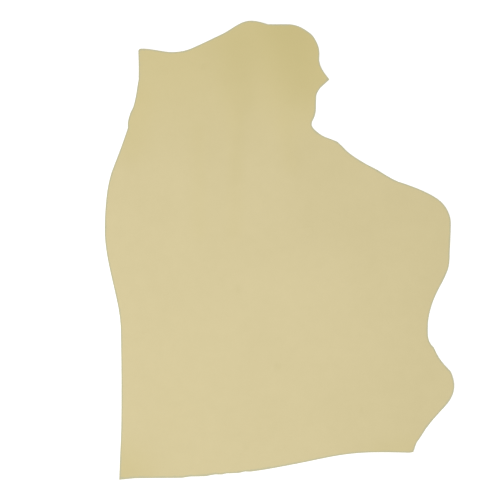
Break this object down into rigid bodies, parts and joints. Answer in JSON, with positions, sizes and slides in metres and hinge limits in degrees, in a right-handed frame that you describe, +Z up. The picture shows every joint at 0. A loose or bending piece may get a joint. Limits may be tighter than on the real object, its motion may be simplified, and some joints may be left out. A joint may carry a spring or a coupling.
{
  "type": "leather hide",
  "caption": "Flat piece of smooth pale leather with the natural outline of a hide's front quarter: neck, cheek, shank and belly lobes, and a straight cut at the foot.",
  "frame": {"origin": "middle of the sheet's box in X and Y, on the surface that the sheet lies on", "axes": "+Z up out of the finished side, +Y to the neck along the back line, +X from the back to the belly"},
  "size_m": [1.103, 1.45, 0.0046],
  "materials": {
    "leather": "smooth pale straw-coloured grain side with a soft low sheen, raw cut edge, napped flesh side underneath"
  },
  "bodies": {
    "root": {"hide": "leather"}
  },
  "joints": []
}
